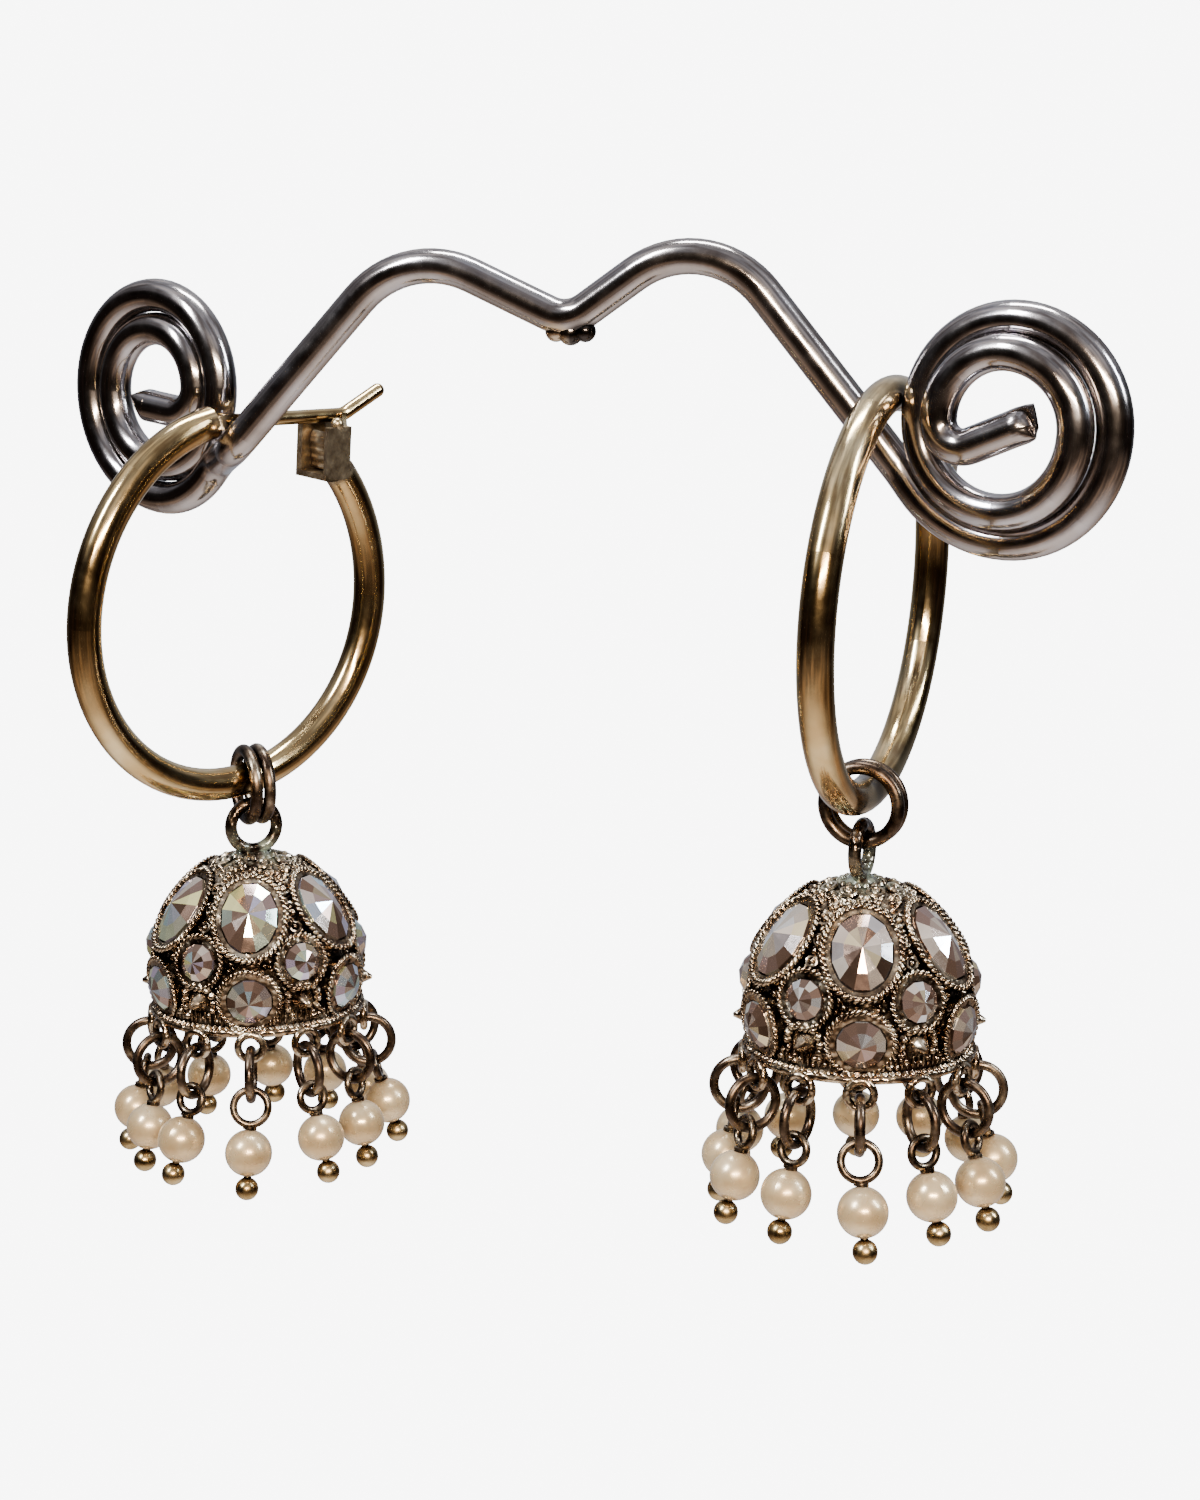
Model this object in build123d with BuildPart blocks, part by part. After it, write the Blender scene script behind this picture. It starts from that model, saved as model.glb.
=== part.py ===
from build123d import *
import os
from math import asin, cos, degrees, radians, sin, sqrt

# Pair of jhumka earrings on a wire display stand. Millimetres.
# The origin is the underside of the weld under the bar's middle dip, where the stand's post held it.
# X runs along the bar, Y to the back, Z up.

os.makedirs("parts", exist_ok=True)

# ---- display wire ----
WIRE_D = 2.1
# bar corners in the plane Y = 0: x, z, bend radius
BAR_CORNERS = (
    (-10.27, 5.92, 6.3),
    (-0.14, 1.35, 2.4),
    (8.32, 7.23, 5.8),
)
# the coil at each end of the bar.
# bar_end: where the slope leaves the bar's plane. corner: where it turns into the coil's own plane.
# heading: the coil plane's outer side. slope: how steeply the wire comes down into it.
# pitch: how much tighter each turn is. drift: how far each turn is pulled along drift_heading.
COILS = {
    "left": {
        "bar_end": (-21.78, 0.0, -6.44), "corner": (-24.65, 3.95, -7.65), "bends": (2.1, 2.8),
        "heading": 159.0, "slope": 47.0, "lead_radius": 5.5, "first_radius": 6.75, "pitch": 2.13,
        "drift": 0.0, "drift_heading": 69.0,
        "tail_radius": 1.7, "tail_turn": 97.0, "tail_length": 2.5,
    },
    "right": {
        "bar_end": None, "corner": (19.86, 0.0, -6.87), "bends": (4.0,),
        "heading": -17.0, "slope": 50.7, "lead_radius": 7.6, "first_radius": 6.45, "pitch": 1.78,
        "drift": 1.2, "drift_heading": -107.0,
        "tail_radius": 1.5, "tail_turn": 111.0, "tail_length": 3.2,
    },
}
COIL_QUARTERS = 7
COIL_LEAD = 1.2
# the weld's beads: x, z, radius
WELD_BEADS = ((-0.9, 0.85, 0.65), (0.0, 0.75, 0.75), (0.9, 0.85, 0.65))

# ---- hoops ----
TUBE_R = 1.05
HOOP_R = 11.45
HOOP_SIDE_R = 12.73
HOOP_TOP_LIFT = HOOP_SIDE_R - HOOP_R
HOOP_TOP_R = HOOP_SIDE_R - HOOP_TOP_LIFT * sqrt(2)
TUBE_END_HINGE = 12.0
TUBE_END_CATCH = 41.0
# clasp, in the hoop's own plane: across (u), up (v) and out of the plane (w)
POST_V = 12.0
PIN_U = -1.0
PIN_R = 0.2
PIN_CLEAR = 0.02
PIN_HEAD_R = 0.32
PIN_HEAD_T = 0.12
FORK_IN = 0.25
FORK_OUT = 0.55
FORK_H = 0.92
FORK_ROOT = 0.5
TAB_T = 0.4
TAB_R = 0.44
TAB_L = 1.0
POST_R = 0.45
POST_START = 0.75
POST_BEND_U = 8.5
POST_BEND_R = 1.5
POST_TIP = (11.4, 13.45)
CATCH_U = (6.0, 8.2)
CATCH_FRONT_W = 1.5
CATCH_BACK_W = 1.275
CATCH_V = (8.0, 11.4)
CATCH_WALL = 0.4
CATCH_LIP = 0.1
TONGUE_V = (11.1, 12.2)
TONGUE_W = (0.9, 0.675)
NOTCH_R = 0.51
KNOB_R = 0.42
KNOB_AT = (7.1, 11.6, 1.125)
HOLE_L = 4.0

# ---- the jump rings and the bell's eye, heights from the hoop tube's centre ----
RING_WIRE_R = 0.4
RING_R = 2.25
RING_DROP = 0.55
RING_SPREAD = 0.44
EYE_WIRE_R = 0.4
EYE_R = 1.55
EYE_BELOW_RING = 0.53
EYE_DROP = RING_DROP + RING_R + EYE_BELOW_RING
EYE_UP = 0.3
APEX_DROP = EYE_DROP + EYE_R + EYE_UP
COLLAR_R = (1.2, 0.75)
COLLAR_H = 0.45
COLLAR_SINK = 0.22

# ---- bell ----
DOME_R = 6.4
DOME_SIDE_R = 9.03
DOME_TOP_R = 6.05
WALL_H = 2.9
RIM_R = 6.75
WALL_T = 0.7
RIM_BEAD_R = 0.28
HOLLOW_BELOW = 1.0
SEAM_TURN = 15.0
SIDE_CENTRE = DOME_R - DOME_SIDE_R
TOP_CENTRE = sqrt((DOME_SIDE_R - DOME_TOP_R) ** 2 - SIDE_CENTRE ** 2)
BELL_H = WALL_H + TOP_CENTRE + DOME_TOP_R

# rows round the dome: height above the rim, turn from the front, tilt upward, how deep the seat is sunk,
# stone across and along, bezel across and along. The boss row is soldered cones between the low stones.
OVAL = {"height": 7.3, "turn": 0.0, "tilt": 7.0, "sink": 0.45, "stone": (3.7, 4.9), "cup": (4.4, 5.6)}
ROUND = {"height": 4.5, "turn": 30.0, "tilt": 0.0, "sink": 0.1, "stone": (2.5, 2.5), "cup": (3.2, 3.2)}
LOW = {"height": 2.35, "turn": 0.0, "tilt": 0.0, "sink": 0.0, "stone": (3.0, 3.0), "cup": (3.7, 3.7)}
BOSS = {"height": 2.0, "turn": 30.0, "tilt": 0.0, "sink": 0.3}
BOSS_R = (0.9, 0.12)
BOSS_H = 1.35
STONES = 6
CUP_UP = 0.45
CUP_DEPTH = 1.1
CUP_OPEN = 1.5
SEAT = 0.05
STONE_CLEAR = 0.05
STONE_SIDES = 12
GIRDLE = 0.5
TABLE_SHARE = 0.62
CROWN_STEP = 0.35
OVAL_TIP = 1.35
ROUND_TIP = 1.1

# ---- drops, heights below the rim ----
DROPS = 12
LOOP_R = 0.8
LOOP_WIRE_R = 0.25
LOOP_AT = 6.95
LOOP_DROP = 0.7
LINK_R = 1.55
LINK_WIRE_R = 0.3
LINK_GAP = 0.03
PIN_LOOP_R = 0.85
FRONT_LOOP_R = 1.1
PIN_WIRE_R = 0.25
PEARL_R = 1.5
PEARL_HOLE_R = 0.28
PEARL_GAP = 0.03
STEM_TOP = 0.3
BALL_R = 0.74
BALL_UP = 0.02
SWING_OUT = 13.0
SWING_VARY = 3.0
SWING_STEP = 2.4

# ---- each earring ----
# centre: middle of the hoop. heading: the hoop plane's far side. lean: its top's lean to the front right.
# clasp_turn: the clasp's turn from the top. hang_u: where the rings hang, across from the lowest point.
# ring_heading: the jump rings' plane. front: the direction that a stone column faces.
# sways: how far each drop has settled to the side, from the front one round.
EARRINGS = {
    "left": {
        "centre": (-23.21, 2.40, -16.89), "heading": 62.95, "lean": 5.1, "clasp_turn": 0.0,
        "hang_u": 2.0, "ring_heading": -48.0, "front": -70.3, "phase": 0.4,
        "sways": (-3.0, 5.0, -1.0, 3.0, -2.0, 3.0, -3.0, 2.0, -3.0, 2.0, 1.0, -7.0),
    },
    "right": {
        "centre": (18.55, 0.2, -14.6), "heading": 84.26, "lean": 3.0, "clasp_turn": 20.0,
        "hang_u": 0.0, "ring_heading": -5.74, "front": -77.9, "phase": 2.1,
        "sways": (4.0, 7.0, -1.0, 2.0, -3.0, 3.0, -2.0, 3.0, -2.0, 3.0, 1.0, -3.0),
    },
}


def flat(heading, length=1.0):
    """A level vector that points along a heading."""
    return Vector(length * cos(radians(heading)), length * sin(radians(heading)), 0)


def coil_points(start, c):
    """The points of a coil: the lead arc to the lowest point, then quarter turns, each a little tighter."""
    out = flat(c["heading"])
    place = [0.0, 0.0]
    angle = -c["slope"]
    turned = 0.0
    points = []
    arcs = [(c["lead_radius"], c["slope"], False)]
    for quarter in range(COIL_QUARTERS):
        radius = c["first_radius"] - quarter * c["pitch"] / 4
        arcs.append((radius, 45.0, True))
        arcs.append((radius, 45.0, True))
    arcs.append((c["tail_radius"], c["tail_turn"], False))
    for radius, turn, drifts in arcs:
        a0 = radians(angle)
        a1 = radians(angle + turn)
        place[0] += radius * (sin(a1) - sin(a0))
        place[1] += radius * (cos(a0) - cos(a1))
        angle += turn
        if drifts:
            turned += turn
        pulled = flat(c["drift_heading"], c["drift"] * turned / 360)
        points.append(start + out * place[0] + Vector(0, 0, place[1]) + pulled)
    return points


def coil_tangent(c):
    """The direction in which the wire enters a coil."""
    return flat(c["heading"], cos(radians(c["slope"]))) - Vector(0, 0, sin(radians(c["slope"])))


def hoop_plane(e, turned=True):
    """The hoop's own plane: x across to the far side, y up, z out to the front right."""
    across = flat(e["heading"])
    side = Vector(across.Y, -across.X, 0)
    lean = radians(e["lean"])
    up = Vector(0, 0, cos(lean)) + side * sin(lean)
    out = across.cross(up)
    turn = radians(e["clasp_turn"] if turned else 0.0)
    return Plane(origin=e["centre"], x_dir=across * cos(turn) - up * sin(turn), z_dir=out)


def hang_point(e):
    """The middle of the tube where the rings hang."""
    plane = hoop_plane(e, turned=False)
    return plane.from_local_coords(Vector(e["hang_u"], -sqrt(HOOP_R ** 2 - e["hang_u"] ** 2), 0))


def shell_spot(height):
    """The outer shell at a height above the rim: radius, and the lift of its normal above level."""
    rise = height - WALL_H
    if rise < 0:
        slope = (RIM_R - DOME_R) / WALL_H
        return DOME_R - slope * rise, -degrees(slope)
    lift = asin(rise / DOME_SIDE_R)
    return SIDE_CENTRE + DOME_SIDE_R * cos(lift), degrees(lift)


def stone_planes(bell_axis, front, row):
    """Planes on the shell for one row of stones: x across, y up the dome, z outward."""
    radius, lift = shell_spot(row["height"])
    lift += row["tilt"]
    planes = []
    for n in range(STONES):
        heading = front + row["turn"] + n * 360 / STONES
        outward = flat(heading, cos(radians(lift))) + Vector(0, 0, sin(radians(lift)))
        spot = bell_axis + flat(heading, radius) + Vector(0, 0, row["height"]) - outward * row["sink"]
        planes.append(Plane(origin=spot, x_dir=flat(heading + 90), z_dir=outward))
    return planes


def dome_solid(inset):
    """The bell's solid form over its rim, or, with an inset, the hollow inside it. Its side is two cones."""
    wall_r = DOME_R - inset
    side_r = DOME_SIDE_R - inset
    top_r = DOME_TOP_R - inset
    join = asin(TOP_CENTRE / (DOME_SIDE_R - DOME_TOP_R))
    floor = -HOLLOW_BELOW if inset else 0.0
    knee = (SIDE_CENTRE + side_r * cos(join), WALL_H + side_r * sin(join))
    crown = (0, WALL_H + TOP_CENTRE + top_r)
    middle = (SIDE_CENTRE + side_r * cos(join / 2), WALL_H + side_r * sin(join / 2))
    high = (join + radians(90)) / 2
    upper = (top_r * cos(high), WALL_H + TOP_CENTRE + top_r * sin(high))
    with BuildPart() as dome:
        with BuildSketch(Plane.XZ.rotated((0, 0, SEAM_TURN))):
            with BuildLine():
                Line((0, floor), (RIM_R - inset, floor))
                if inset:
                    Line((RIM_R - inset, floor), (RIM_R - inset, 0))
                Line((RIM_R - inset, 0), (wall_r, WALL_H))
                Polyline((wall_r, WALL_H), middle, knee)
                ThreePointArc(knee, upper, crown)
                Line(crown, (0, floor))
            make_face()
        revolve(axis=Axis.Z)
    return dome.part


def torus_on(plane, ring_r, wire_r):
    """A ring whose axis is the plane's z."""
    return plane * Torus(ring_r, wire_r, mode=Mode.PRIVATE)


def facet_corners(half_x, half_y):
    """The corners of a stone's outline."""
    turns = [radians((n + 0.5) * 360 / STONE_SIDES) for n in range(STONE_SIDES)]
    return [(half_x * cos(turn), half_y * sin(turn)) for turn in turns]


def stone_solid(plane, size, tip):
    """A stone with an upright girdle, one band of crown facets and a pointed top."""
    half_x = size[0] / 2 - STONE_CLEAR
    half_y = size[1] / 2 - STONE_CLEAR
    crown = SEAT + GIRDLE + CROWN_STEP
    with BuildPart() as body:
        with BuildSketch(plane.offset(SEAT)):
            with BuildLine():
                Polyline(*facet_corners(half_x, half_y), close=True)
            make_face()
        extrude(amount=GIRDLE)
        with BuildSketch(plane.offset(SEAT + GIRDLE)) as girdle:
            with BuildLine():
                Polyline(*facet_corners(half_x, half_y), close=True)
            make_face()
        with BuildSketch(plane.offset(crown)) as table:
            with BuildLine():
                Polyline(*facet_corners(half_x * TABLE_SHARE, half_y * TABLE_SHARE), close=True)
            make_face()
        loft(sections=[girdle.sketch.face(), table.sketch.face()], ruled=True)
        point = plane.from_local_coords(Vector(0, 0, tip))
        loft(sections=[table.sketch.face(), Vertex(point.X, point.Y, point.Z)], ruled=True)
    return body.part


def export(body, name):
    body.label = name
    export_step(body, "parts/" + name + ".step")


# ---- the display wire ----
paths = {}
for side, c in COILS.items():
    tangent = coil_tangent(c)
    start = Vector(*c["corner"]) + tangent * COIL_LEAD
    with BuildLine() as coil:
        here = start
        heading = tangent
        for point in coil_points(start, c):
            arc = TangentArc(here, point, tangent=heading)
            here = point
            heading = arc % 1
        Line(here, here + heading * c["tail_length"])
    paths[side] = (start, coil.wire())

left = COILS["left"]
right = COILS["right"]
corners = [paths["left"][0], Vector(*left["corner"]), Vector(*left["bar_end"])]
corners += [Vector(x, 0, z) for x, z, radius in BAR_CORNERS]
corners += [Vector(*right["corner"]), paths["right"][0]]
radii = [left["bends"][1], left["bends"][0]]
radii += [radius for x, z, radius in BAR_CORNERS]
radii += list(right["bends"])

with BuildPart() as display_wire:
    with BuildLine() as run:
        FilletPolyline(*corners, radius=radii)
        for side in ("left", "right"):
            add(paths[side][1])
    wire = run.wire()
    with BuildSketch(Plane(origin=wire @ 0, z_dir=wire % 0)):
        Circle(WIRE_D / 2)
    sweep(path=wire)
    for x, z, radius in WELD_BEADS:
        with Locations((x, 0, z)):
            Sphere(radius)
export(display_wire.part, "display_wire")


ROWS = (
    ("oval_stone", OVAL, OVAL_TIP),
    ("round_stone", ROUND, ROUND_TIP),
    ("rim_stone", LOW, ROUND_TIP),
)

# ---- the bell's body: shell, cups for the stones, bosses, collar, rim bead and rim loops ----
centre = Vector(0, 0, 0)
with BuildPart() as body:
    add(dome_solid(0))
    for name, row, tip in ROWS:
        for spot in stone_planes(centre, 0, row):
            with BuildSketch(spot.offset(-CUP_DEPTH)):
                Ellipse(row["cup"][0] / 2, row["cup"][1] / 2)
            extrude(amount=CUP_DEPTH + CUP_UP)
    for spot in stone_planes(centre, 0, BOSS):
        with Locations(Location(spot)):
            Cone(BOSS_R[0], BOSS_R[1], BOSS_H, align=(Align.CENTER, Align.CENTER, Align.MIN))
    with Locations((0, 0, BELL_H - COLLAR_SINK)):
        Cone(COLLAR_R[0], COLLAR_R[1], COLLAR_H, align=(Align.CENTER, Align.CENTER, Align.MIN))
    add(dome_solid(WALL_T), mode=Mode.SUBTRACT)
    for name, row, tip in ROWS:
        for spot in stone_planes(centre, 0, row):
            with BuildSketch(spot):
                Ellipse(row["stone"][0] / 2, row["stone"][1] / 2)
            extrude(amount=CUP_OPEN, mode=Mode.SUBTRACT)
    add(torus_on(Plane.XY.offset(RIM_BEAD_R / 2).rotated((0, 0, SEAM_TURN)), RIM_R, RIM_BEAD_R))
    for n in range(DROPS):
        heading = n * 360 / DROPS
        middle = flat(heading, LOOP_AT) - Vector(0, 0, LOOP_DROP)
        add(torus_on(Plane(origin=middle, x_dir=flat(heading + 90), z_dir=flat(heading)),
                     LOOP_R, LOOP_WIRE_R))
bell_body = body.part

for side, e in EARRINGS.items():
    plane = hoop_plane(e)

    # ---- hoop, with its fork and catch ----
    with BuildPart() as hoop:
        with BuildLine(plane) as ring_path:
            CenterArc((0, HOOP_TOP_LIFT), HOOP_TOP_R, 90 + TUBE_END_HINGE, 45 - TUBE_END_HINGE)
            CenterArc((HOOP_TOP_LIFT, 0), HOOP_SIDE_R, 135, 45)
            CenterArc((0, 0), HOOP_R, 180, 180)
            CenterArc((-HOOP_TOP_LIFT, 0), HOOP_SIDE_R, 0, TUBE_END_CATCH)
        with BuildSketch(Plane(origin=ring_path.wire() @ 0, z_dir=ring_path.wire() % 0)):
            Circle(TUBE_R)
        sweep(path=ring_path.wire())
        tube_end_u = -HOOP_TOP_R * sin(radians(TUBE_END_HINGE))
        fork_l = PIN_U - tube_end_u + FORK_ROOT
        for w in (FORK_IN, -FORK_OUT):
            with BuildSketch(plane.offset(w)):
                with Locations((PIN_U - fork_l / 2, POST_V)):
                    Rectangle(fork_l, FORK_H)
                with Locations((PIN_U, POST_V)):
                    Circle(FORK_H / 2)
            extrude(amount=FORK_OUT - FORK_IN)
        # catch: a folded saddle on a floor, open to the hinge, with a tongue on its back
        catch_plane = Plane(origin=plane.from_local_coords(Vector(0, CATCH_V[0], 0)),
                            x_dir=plane.x_dir, z_dir=plane.y_dir)
        lip_u = CATCH_U[0] + CATCH_LIP
        back_u = CATCH_U[1] - CATCH_WALL
        outside = [(CATCH_U[0], CATCH_FRONT_W), (CATCH_U[1], CATCH_BACK_W),
                   (CATCH_U[1], -CATCH_BACK_W), (CATCH_U[0], -CATCH_FRONT_W)]
        inside = [(lip_u, CATCH_WALL - CATCH_FRONT_W), (back_u, CATCH_WALL - CATCH_BACK_W),
                  (back_u, CATCH_BACK_W - CATCH_WALL), (lip_u, CATCH_FRONT_W - CATCH_WALL)]
        for outline, height in ((outside + inside, CATCH_V[1] - CATCH_V[0]), (outside, CATCH_WALL)):
            with BuildSketch(catch_plane):
                with BuildLine():
                    Polyline(*outline, close=True)
                make_face()
            extrude(amount=height)
        with BuildSketch(Plane(origin=plane.from_local_coords(Vector(back_u, 0, 0)),
                               x_dir=plane.z_dir, z_dir=plane.x_dir)):
            with BuildLine():
                Polyline(
                    (-TONGUE_W[0], -TONGUE_V[0]), (TONGUE_W[0], -TONGUE_V[0]),
                    (TONGUE_W[1], -TONGUE_V[1]), (-TONGUE_W[1], -TONGUE_V[1]), close=True)
            make_face()
        extrude(amount=CATCH_WALL)
        # the pin's hole and the post's notch
        with BuildSketch(plane.offset(-HOLE_L / 2)):
            with Locations((PIN_U, POST_V)):
                Circle(PIN_R + PIN_CLEAR)
        extrude(amount=HOLE_L, mode=Mode.SUBTRACT)
        with BuildSketch(Plane(origin=plane.from_local_coords(Vector(CATCH_U[1] - HOLE_L / 2, 0, 0)),
                               x_dir=plane.z_dir, z_dir=plane.x_dir)):
            with Locations((0, -POST_V - 2 * NOTCH_R)):
                Rectangle(2 * NOTCH_R, 4 * NOTCH_R)
            with Locations((0, -POST_V)):
                Circle(NOTCH_R)
        extrude(amount=HOLE_L, mode=Mode.SUBTRACT)
        with Locations(plane.from_local_coords(Vector(*KNOB_AT))):
            Sphere(KNOB_R)
    export(hoop.part, side + "_hoop")

    # ---- hinge pin ----
    shaft_l = 2 * (FORK_OUT + PIN_CLEAR + PIN_HEAD_T)
    with BuildPart() as hinge_pin:
        with BuildSketch(plane.offset(-shaft_l / 2)):
            with Locations((PIN_U, POST_V)):
                Circle(PIN_R)
        extrude(amount=shaft_l)
        for w in (-shaft_l / 2, shaft_l / 2 - PIN_HEAD_T):
            with BuildSketch(plane.offset(w)):
                with Locations((PIN_U, POST_V)):
                    Circle(PIN_HEAD_R)
            extrude(amount=PIN_HEAD_T)
    export(hinge_pin.part, side + "_hinge_pin")

    # ---- ear post, with the tab that turns on the pin ----
    with BuildPart() as ear_post:
        with BuildLine(plane) as post_path:
            FilletPolyline((PIN_U + POST_START, POST_V), (POST_BEND_U, POST_V), POST_TIP,
                           radius=POST_BEND_R)
        with BuildSketch(Plane(origin=post_path.wire() @ 0, z_dir=post_path.wire() % 0)):
            Circle(POST_R)
        sweep(path=post_path.wire())
        with Locations(plane.from_local_coords(Vector(POST_TIP[0], POST_TIP[1], 0))):
            Sphere(POST_R)
        with BuildSketch(plane.offset(-TAB_T / 2)):
            with Locations((PIN_U + TAB_L / 2, POST_V)):
                Rectangle(TAB_L, 2 * TAB_R)
            with Locations((PIN_U, POST_V)):
                Circle(TAB_R)
        extrude(amount=TAB_T)
        with BuildSketch(plane.offset(-HOLE_L / 2)):
            with Locations((PIN_U, POST_V)):
                Circle(PIN_R + PIN_CLEAR)
        extrude(amount=HOLE_L, mode=Mode.SUBTRACT)
    export(ear_post.part, side + "_ear_post")

    # ---- jump rings ----
    hang = hang_point(e)
    ring_across = flat(e["ring_heading"])
    ring_axis = flat(e["ring_heading"] + 90)
    for name, spread in (("front", -RING_SPREAD), ("back", RING_SPREAD)):
        middle = hang - Vector(0, 0, RING_DROP) + ring_axis * spread
        with BuildPart() as jump_ring:
            add(torus_on(Plane(origin=middle, x_dir=ring_across, z_dir=ring_axis), RING_R, RING_WIRE_R))
        export(jump_ring.part, side + "_jump_ring_" + name)

    # ---- bell: its body and its eye ----
    rim = hang - Vector(0, 0, APEX_DROP + BELL_H)
    eye = hang - Vector(0, 0, EYE_DROP)
    with BuildPart() as bell:
        add(Plane(origin=rim, x_dir=flat(e["front"]), z_dir=(0, 0, 1)) * bell_body)
        add(torus_on(Plane(origin=eye, x_dir=ring_axis, z_dir=ring_across), EYE_R, EYE_WIRE_R))
    export(bell.part, side + "_bell")

    # ---- stones ----
    for name, row, tip in ROWS:
        for n, spot in enumerate(stone_planes(rim, e["front"], row)):
            with BuildPart() as stone:
                add(stone_solid(spot, row["stone"], tip))
            export(stone.part, side + "_" + name + "_" + str(n + 1))

    # ---- drops ----
    links = []
    pins = []
    pearls = []
    for n in range(DROPS):
        heading = e["front"] + n * 360 / DROPS
        outward = flat(heading)
        along = flat(heading + 90)
        pivot = rim + outward * LOOP_AT - Vector(0, 0, LOOP_DROP + LOOP_R)
        swing = radians(SWING_OUT + SWING_VARY * sin(SWING_STEP * n + e["phase"]))
        down = outward * sin(swing) - Vector(0, 0, cos(swing))
        link_middle = pivot - down * (LOOP_WIRE_R + LINK_WIRE_R + LINK_GAP) + down * LINK_R
        links.append(torus_on(Plane(origin=link_middle, x_dir=outward, z_dir=along),
                              LINK_R, LINK_WIRE_R))
        link_low = link_middle + down * LINK_R
        sway = radians(e["sways"][n])
        fall = (down * cos(sway) + along * sin(sway)).normalized()
        level = fall.cross(along).normalized()
        loop_r = PIN_LOOP_R if n else FRONT_LOOP_R
        loop_middle = link_low - fall * (LINK_WIRE_R + PIN_WIRE_R + LINK_GAP) + fall * loop_r
        stem_start = loop_middle + fall * loop_r
        pearl_middle = stem_start + fall * (STEM_TOP + PEARL_R)
        ball_middle = pearl_middle + fall * (PEARL_R + PEARL_GAP + BALL_R - BALL_UP)
        with BuildPart() as head_pin:
            add(torus_on(Plane(origin=loop_middle, x_dir=fall, z_dir=level), loop_r, PIN_WIRE_R))
            with BuildSketch(Plane(origin=stem_start, x_dir=level, z_dir=fall)):
                Circle(PIN_WIRE_R)
            extrude(amount=(ball_middle - stem_start).length)
            with Locations(ball_middle):
                Sphere(BALL_R)
        pins.append(head_pin.part)
        with BuildPart() as pearl:
            with Locations(Location(Plane(origin=pearl_middle, x_dir=level, z_dir=fall))):
                Sphere(PEARL_R)
            with BuildSketch(Plane(origin=pearl_middle - fall * 2 * PEARL_R, x_dir=level, z_dir=fall)):
                Circle(PEARL_HOLE_R)
            extrude(amount=4 * PEARL_R, mode=Mode.SUBTRACT)
        pearls.append(pearl.part)
    for name, group in (("drop_rings", links), ("head_pins", pins), ("pearls", pearls)):
        with BuildPart() as node:
            for one in group:
                add(one)
        export(node.part, side + "_" + name)
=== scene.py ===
import random
from math import asin, cos, degrees, pi, radians, sin, sqrt

import bpy
from mathutils import Matrix, Vector


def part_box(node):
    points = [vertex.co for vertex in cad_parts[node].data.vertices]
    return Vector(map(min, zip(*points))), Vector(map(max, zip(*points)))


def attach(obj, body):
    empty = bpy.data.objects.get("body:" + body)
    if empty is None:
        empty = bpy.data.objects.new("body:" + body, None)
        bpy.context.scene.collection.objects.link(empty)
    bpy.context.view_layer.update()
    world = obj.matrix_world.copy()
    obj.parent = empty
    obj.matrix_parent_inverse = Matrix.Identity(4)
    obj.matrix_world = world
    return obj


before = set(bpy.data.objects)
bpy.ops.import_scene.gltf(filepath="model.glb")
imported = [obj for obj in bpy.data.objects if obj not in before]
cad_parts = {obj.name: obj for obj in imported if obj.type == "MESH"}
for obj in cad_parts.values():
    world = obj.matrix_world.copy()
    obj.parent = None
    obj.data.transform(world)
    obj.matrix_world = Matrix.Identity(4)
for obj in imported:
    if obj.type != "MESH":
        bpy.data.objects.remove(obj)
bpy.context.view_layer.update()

MM = 0.001

# ---- the earring's own sizes, in millimetres and degrees, as its solid parts have them ----
# the bell's shell: a flared wall, a bulging side and a rounder crown
RIM_R = 6.75
WALL_H = 2.9
DOME_R = 6.4
DOME_SIDE_R = 9.03
DOME_TOP_R = 6.05
SIDE_CENTRE = DOME_R - DOME_SIDE_R
TOP_CENTRE = sqrt((DOME_SIDE_R - DOME_TOP_R) ** 2 - SIDE_CENTRE ** 2)
BELL_H = WALL_H + TOP_CENTRE + DOME_TOP_R
RIM_ABOVE_LOOPS = 1.75
# the heading of each bell's front column of cups
FRONT = {"left": -70.3, "right": -77.9}

# the rows of cups: height over the rim, turn from the front column, extra lift of the face,
# how deep the cup is sunk, and its width round the bell and length up it
COLUMNS = 6
OVAL = {"height": 7.3, "turn": 0, "tilt": 7, "sink": 0.45, "across": 4.4, "along": 5.6}
ROUND = {"height": 4.5, "turn": 30, "tilt": 0, "sink": 0.1, "across": 3.2, "along": 3.2}
LOW = {"height": 2.35, "turn": 0, "tilt": 0, "sink": 0.0, "across": 3.7, "along": 3.7}
BOSS = {"height": 2.0, "turn": 30, "tilt": 0, "sink": 0.0, "across": 2.0, "along": 2.0}

# what edges each row: how far out from the shell, how far outside the cup, spacing and size
ROPES = {
    "oval_ropes": {"row": OVAL, "out": 0.42, "grow": 0.12, "pitch": 0.36, "size": 0.19},
    "round_ropes": {"row": ROUND, "out": 0.36, "grow": 0.1, "pitch": 0.33, "size": 0.17},
    "low_ropes": {"row": LOW, "out": 0.36, "grow": 0.1, "pitch": 0.33, "size": 0.17},
}
BOSS_BALLS = {"row": BOSS, "out": 0.1, "grow": 0.12, "pitch": 0.5, "size": 0.24, "slant": False}

# the wire scrolls in each gap between the ovals: height, how far out, size and spin
GAP_SCROLLS = ((8.75, 0.12, 0.44, 35), (7.75, 0.1, 0.32, 80), (6.6, 0.12, 0.36, 10))

# the drops: a loop on the rim, a ring in it, and a head pin through a pearl
DROPS = 12
LOOP_AT = 6.95
LOOP_DROP = 0.7
LOOP_R = 0.8
LOOP_WIRE_R = 0.25
LINK_R = 1.55
LINK_WIRE_R = 0.3
WIRE_GAP = 0.03
PIN_LOOP_R = 0.85
FRONT_LOOP_R = 1.1
PIN_WIRE_R = 0.25
PEARL_BELOW = 7.0

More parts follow.
